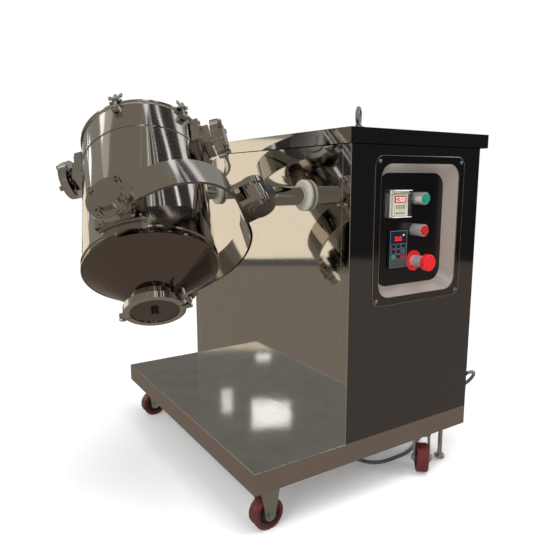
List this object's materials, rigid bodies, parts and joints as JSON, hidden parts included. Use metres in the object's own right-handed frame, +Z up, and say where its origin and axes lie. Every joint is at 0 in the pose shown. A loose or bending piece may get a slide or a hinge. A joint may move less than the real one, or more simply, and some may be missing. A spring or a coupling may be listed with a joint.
{
  "type": "swing mixer",
  "caption": "Drum mixer whose closed barrel swings and tumbles between two pinned band yokes beside a polished cabinet on casters.",
  "frame": {"origin": "centre of the machine's box without its power lead, on the floor", "axes": "+X from the drum's platform towards the rear service cover, +Y from the control side towards the far side, +Z up"},
  "size_m": [1.1027, 0.863, 0.9683],
  "materials": {
    "panel_steel": "mirror polished stainless sheet",
    "dark_panel_steel": "mirror polished stainless sheet that reflects a dark room",
    "tray_steel": "drawn stainless tray, satin floor and bright rim",
    "frame_steel": "grey paint",
    "drum_steel": "mirror polished stainless",
    "cone_steel": "polished stainless, darker reflections",
    "linkage_steel": "polished stainless bar and flat",
    "hub_steel": "turned stainless covers",
    "fastener_steel": "bright fasteners",
    "zinc_steel": "zinc plated pressed steel",
    "wheel_tyre": "dark red polyurethane",
    "bearing_iron": "painted cast iron",
    "drive_paint": "blue grey paint",
    "seal_polymer": "grey beige polymer",
    "gasket_rubber": "white silicone",
    "timer_plastic": "cream plastic",
    "clear_plastic": "clear moulded cover",
    "keypad_film": "dark membrane film",
    "chrome_trim": "chrome plated bezels",
    "green_cap": "green button cap",
    "red_cap": "red button cap",
    "estop_red": "red emergency stop",
    "black_plastic": "black plastic",
    "lead_rubber": "dark grey lead sheath"
  },
  "bodies": {
    "root": {"base_frame": "frame_steel", "base_deck": "panel_steel", "barrel_side_panel": "panel_steel", "control_side_panel": "dark_panel_steel", "far_side_panel": "panel_steel", "rear_cover": "panel_steel", "panel_screws": "fastener_steel", "top_cover": "dark_panel_steel", "eyebolts": "fastener_steel", "control_tray": "tray_steel", "timer": "timer_plastic", "keypad": "keypad_film", "button_bezels": "chrome_trim", "estop_collar": "estop_red", "contact_blocks": "black_plastic", "inverter": "black_plastic", "drive_motor": "drive_paint", "worm_gearbox": "drive_paint", "bearing_plate": "frame_steel", "bearing_housings": "bearing_iron", "shaft_seals": "seal_polymer", "cable_gland": "black_plastic", "fixed_casters": "zinc_steel", "swivel_tops": "zinc_steel", "power_cord": "lead_rubber", "cord_coil": "lead_rubber", "cord_plug": "black_plastic"},
    "drive_train": {"drive_shaft": "linkage_steel", "shaft_coupling": "linkage_steel"},
    "near_yoke": {"near_yoke": "linkage_steel", "near_pivot_pin": "hub_steel", "near_hub_covers": "hub_steel"},
    "barrel": {"barrel_shell": "drum_steel", "discharge_cone": "cone_steel", "trunnions": "linkage_steel", "barrel_lid": "drum_steel", "gaskets": "gasket_rubber", "outlet_clamp": "linkage_steel", "outlet_cap": "cone_steel"},
    "driven_shaft": {"driven_shaft": "linkage_steel"},
    "far_yoke": {"far_yoke": "linkage_steel", "far_pivot_pin": "hub_steel", "far_hub_covers": "hub_steel"},
    "lid_bolt_1": {"lid_bolt_1": "fastener_steel"},
    "lid_bolt_2": {"lid_bolt_2": "fastener_steel"},
    "lid_bolt_3": {"lid_bolt_3": "fastener_steel"},
    "lid_bolt_4": {"lid_bolt_4": "fastener_steel"},
    "outlet_clamp_bolt": {"outlet_clamp_bolt": "fastener_steel"},
    "timer_cover": {"timer_cover": "clear_plastic"},
    "start_button": {"start_button": "green_cap"},
    "stop_button": {"stop_button": "red_cap"},
    "estop_head": {"estop_head": "estop_red"},
    "swivel_fork_1": {"swivel_fork_1": "zinc_steel"},
    "swivel_fork_2": {"swivel_fork_2": "zinc_steel"},
    "caster_wheel_1": {"caster_wheel_1": "wheel_tyre"},
    "caster_wheel_2": {"caster_wheel_2": "wheel_tyre"},
    "caster_wheel_3": {"caster_wheel_3": "wheel_tyre"},
    "caster_wheel_4": {"caster_wheel_4": "wheel_tyre"},
    "levelling_foot_1": {"levelling_foot_1": "fastener_steel"},
    "levelling_foot_2": {"levelling_foot_2": "fastener_steel"}
  },
  "joints": [
    {"name": "drive_turn", "type": "hinge", "parent": "root", "child": "drive_train", "pos_m": [-0.09816, -0.2395, 0.733], "axis": [1, 0, 0], "range_deg": [-12, 12]},
    {"name": "near_fork_fold", "type": "hinge", "parent": "drive_train", "child": "near_yoke", "pos_m": [-0.09816, -0.2395, 0.733], "axis": [0, 0.7373, 0.6756], "range_deg": [-9.2, 9.2]},
    {"name": "barrel_tumble", "type": "hinge", "parent": "near_yoke", "child": "barrel", "pos_m": [-0.31469, -0.13396, 0.61783], "axis": [-0.5851, -0.5479, 0.5979], "range_deg": [-10.6, 10.6]},
    {"name": "driven_turn", "type": "hinge", "parent": "root", "child": "driven_shaft", "pos_m": [-0.09816, 0.22296, 0.733], "axis": [1, 0, 0], "range_deg": [-9.2, 9.2]},
    {"name": "far_fork_fold", "type": "hinge", "parent": "driven_shaft", "child": "far_yoke", "pos_m": [-0.09816, 0.22296, 0.733], "axis": [0, -0.4165, -0.9091], "range_deg": [-5.2, 5.2]},
    {"name": "lid_bolt_1_swing", "type": "hinge", "parent": "barrel", "child": "lid_bolt_1", "pos_m": [-0.3488, -0.03817, 0.93146], "axis": [0.7873, -0.5605, 0.2568], "range_deg": [0, 75]},
    {"name": "lid_bolt_2_swing", "type": "hinge", "parent": "barrel", "child": "lid_bolt_2", "pos_m": [-0.19777, -0.07095, 0.9196], "axis": [0.9004, 0.1942, -0.3894], "range_deg": [0, 75]},
    {"name": "lid_bolt_3_swing", "type": "hinge", "parent": "barrel", "child": "lid_bolt_3", "pos_m": [-0.16743, 0.13167, 0.74611], "axis": [-0.7873, 0.5605, -0.2568], "range_deg": [0, 75]},
    {"name": "lid_bolt_4_swing", "type": "hinge", "parent": "barrel", "child": "lid_bolt_4", "pos_m": [-0.31845, 0.16445, 0.75797], "axis": [-0.9004, -0.1942, 0.3894], "range_deg": [0, 75]},
    {"name": "outlet_clamp_bolt_swing", "type": "hinge", "parent": "barrel", "child": "outlet_clamp_bolt", "pos_m": [-0.2814, -0.26642, 0.51481], "axis": [0.1944, 0.621, 0.7593], "range_deg": [0, 75]},
    {"name": "timer_cover_lift", "type": "hinge", "parent": "root", "child": "timer_cover", "pos_m": [0.21234, -0.3808, 0.7433], "axis": [-1, 0, 0], "range_deg": [0, 100]},
    {"name": "start_press", "type": "slide", "parent": "root", "child": "start_button", "axis": [0, 1, 0], "range_m": [0, 0.004], "stiffness_N_per_m": 300, "springref_m": -0.003},
    {"name": "stop_press", "type": "slide", "parent": "root", "child": "stop_button", "axis": [0, 1, 0], "range_m": [0, 0.004], "stiffness_N_per_m": 300, "springref_m": -0.003},
    {"name": "estop_press", "type": "slide", "parent": "root", "child": "estop_head", "axis": [0, 1, 0], "range_m": [0, 0.006]},
    {"name": "swivel_1", "type": "hinge", "parent": "root", "child": "swivel_fork_1", "pos_m": [0.33934, -0.3655, 0.1], "axis": [0, 0, 1], "continuous": true},
    {"name": "swivel_2", "type": "hinge", "parent": "root", "child": "swivel_fork_2", "pos_m": [0.33934, 0.3545, 0.1], "axis": [0, 0, 1], "continuous": true},
    {"name": "wheel_spin_1", "type": "hinge", "parent": "root", "child": "caster_wheel_1", "pos_m": [-0.15366, -0.3655, 0.0375], "axis": [0, 1, 0], "continuous": true},
    {"name": "wheel_spin_2", "type": "hinge", "parent": "root", "child": "caster_wheel_2", "pos_m": [-0.15366, 0.3545, 0.0375], "axis": [0, 1, 0], "continuous": true},
    {"name": "wheel_spin_3", "type": "hinge", "parent": "swivel_fork_1", "child": "caster_wheel_3", "pos_m": [0.32359, -0.38361, 0.0375], "axis": [0.7547, -0.6561, 0], "continuous": true},
    {"name": "wheel_spin_4", "type": "hinge", "parent": "swivel_fork_2", "child": "caster_wheel_4", "pos_m": [0.31678, 0.34629, 0.0375], "axis": [0.342, -0.9397, 0], "continuous": true},
    {"name": "foot_screw_1", "type": "slide", "parent": "root", "child": "levelling_foot_1", "axis": [0, 0, 1], "range_m": [-0.02, 0.012]},
    {"name": "foot_screw_2", "type": "slide", "parent": "root", "child": "levelling_foot_2", "axis": [0, 0, 1], "range_m": [-0.02, 0.012]}
  ],
  "couplings": [
    {"joint": "near_fork_fold", "follows": "drive_turn", "ratio": -0.7501},
    {"joint": "barrel_tumble", "follows": "drive_turn", "ratio": 0.8666},
    {"joint": "driven_turn", "follows": "drive_turn", "ratio": -0.7444},
    {"joint": "far_fork_fold", "follows": "drive_turn", "ratio": 0.4067}
  ]
}
